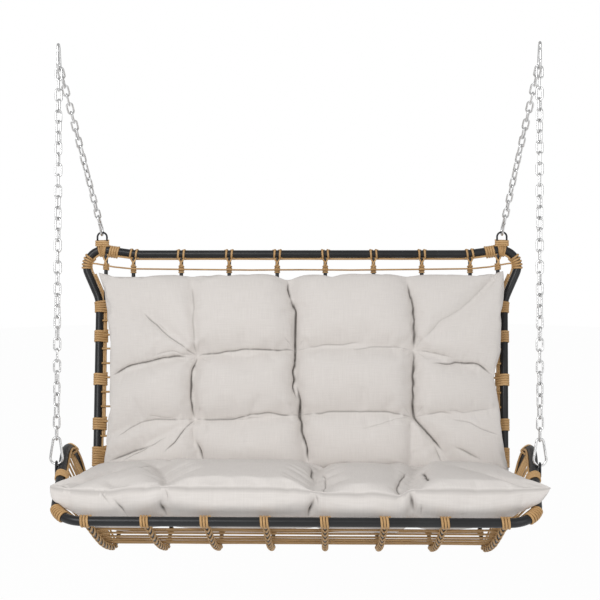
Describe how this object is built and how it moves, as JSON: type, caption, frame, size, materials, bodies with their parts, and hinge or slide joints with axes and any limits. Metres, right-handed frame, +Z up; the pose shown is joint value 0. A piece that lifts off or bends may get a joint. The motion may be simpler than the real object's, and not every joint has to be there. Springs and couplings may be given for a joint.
{
  "type": "porch swing seat",
  "caption": "Hanging porch swing seat: bent steel tube rim with wrapped ribs and rattan strands, seat and back cushions, hung on chains and snap hooks",
  "frame": {"origin": "midpoint between the two bearing points of the ceiling hooks, where the ceiling eyes carry them", "axes": "+X across the seat, along the line through both ceiling hooks; +Y from the front rail to the backrest; +Z up"},
  "size_m": [1.4156, 0.877, 1.463],
  "materials": {
    "black_steel": "satin charcoal powder coat",
    "rattan": "tan woven resin cane, dull",
    "zinc_steel": "bright zinc plate",
    "cushion_fabric": "fine woven linen-look cloth"
  },
  "bodies": {
    "ceiling_hooks": {"hook_top_left": "zinc_steel", "hook_top_right": "zinc_steel", "gate_pins_top": "zinc_steel"},
    "seat": {"seat_rim_tube": "black_steel", "back_rim_tube": "black_steel", "rim_joint_sleeves": "zinc_steel", "ear_rod_left": "black_steel", "ear_rod_right": "black_steel", "rib_1": "black_steel", "rib_2": "black_steel", "rib_3": "black_steel", "rib_4": "black_steel", "rib_5": "black_steel", "rib_6": "black_steel", "rib_7": "black_steel", "rib_8": "black_steel", "rib_wraps": "rattan", "rail_bindings": "rattan", "corner_bindings": "rattan", "arm_bindings": "rattan", "arm_top_bindings": "rattan", "post_bindings": "rattan", "post_foot_bindings": "rattan", "ear_bindings": "rattan", "ear_rod_bindings": "black_steel", "top_bindings": "rattan", "ring_bindings": "rattan", "rim_strands": "rattan", "seat_strands": "rattan", "back_strands": "rattan", "side_strands_left": "rattan", "side_strands_right": "rattan", "ring_left": "black_steel", "ring_right": "black_steel", "arm_loop_left": "black_steel", "arm_loop_right": "black_steel", "chain_front_left": "zinc_steel", "chain_front_right": "zinc_steel", "chain_rear_left": "zinc_steel", "chain_rear_right": "zinc_steel", "hook_front_left": "zinc_steel", "hook_front_right": "zinc_steel", "hook_rear_left": "zinc_steel", "hook_rear_right": "zinc_steel", "gate_pins_seat": "zinc_steel", "seat_cushion": "cushion_fabric", "back_cushion": "cushion_fabric"},
    "gate_top_left_body": {"gate_top_left": "zinc_steel", "gate_spring_top_left": "zinc_steel"},
    "gate_top_right_body": {"gate_top_right": "zinc_steel", "gate_spring_top_right": "zinc_steel"},
    "gate_front_left_body": {"gate_front_left": "zinc_steel", "gate_spring_front_left": "zinc_steel"},
    "gate_front_right_body": {"gate_front_right": "zinc_steel", "gate_spring_front_right": "zinc_steel"},
    "gate_rear_left_body": {"gate_rear_left": "zinc_steel", "gate_spring_rear_left": "zinc_steel"},
    "gate_rear_right_body": {"gate_rear_right": "zinc_steel", "gate_spring_rear_right": "zinc_steel"}
  },
  "joints": [
    {"name": "swing", "type": "hinge", "parent": "ceiling_hooks", "child": "seat", "pos_m": [0, 0, -0.0525], "axis": [1, 0, 0], "range_deg": [-25, 25]},
    {"name": "gate_top_left_hinge", "type": "hinge", "parent": "ceiling_hooks", "child": "gate_top_left_body", "pos_m": [-0.682, -0.01166, -0.01654], "axis": [1, 0, 0], "range_deg": [0, 28], "stiffness_Nm_per_rad": 0.02, "springref_deg": -2.86},
    {"name": "gate_top_right_hinge", "type": "hinge", "parent": "ceiling_hooks", "child": "gate_top_right_body", "pos_m": [0.682, -0.01166, -0.01654], "axis": [1, 0, 0], "range_deg": [0, 28], "stiffness_Nm_per_rad": 0.02, "springref_deg": -2.86},
    {"name": "gate_front_left_hinge", "type": "hinge", "parent": "seat", "child": "gate_front_left_body", "pos_m": [-0.67806, -0.21392, -1.10758], "axis": [0, -0.9801, 0.1987], "range_deg": [0, 28], "stiffness_Nm_per_rad": 0.02, "springref_deg": -2.86},
    {"name": "gate_front_right_hinge", "type": "hinge", "parent": "seat", "child": "gate_front_right_body", "pos_m": [0.67806, -0.21392, -1.10758], "axis": [0, 0.9801, -0.1987], "range_deg": [0, 28], "stiffness_Nm_per_rad": 0.02, "springref_deg": -2.86},
    {"name": "gate_rear_left_hinge", "type": "hinge", "parent": "seat", "child": "gate_rear_left_body", "pos_m": [-0.64331, 0.3444, -0.52232], "axis": [0.9961, 0.0083, 0.0881], "range_deg": [0, 28], "stiffness_Nm_per_rad": 0.02, "springref_deg": -2.86},
    {"name": "gate_rear_right_hinge", "type": "hinge", "parent": "seat", "child": "gate_rear_right_body", "pos_m": [0.64331, 0.3444, -0.52232], "axis": [0.9961, -0.0083, -0.0881], "range_deg": [0, 28], "stiffness_Nm_per_rad": 0.02, "springref_deg": -2.86}
  ]
}
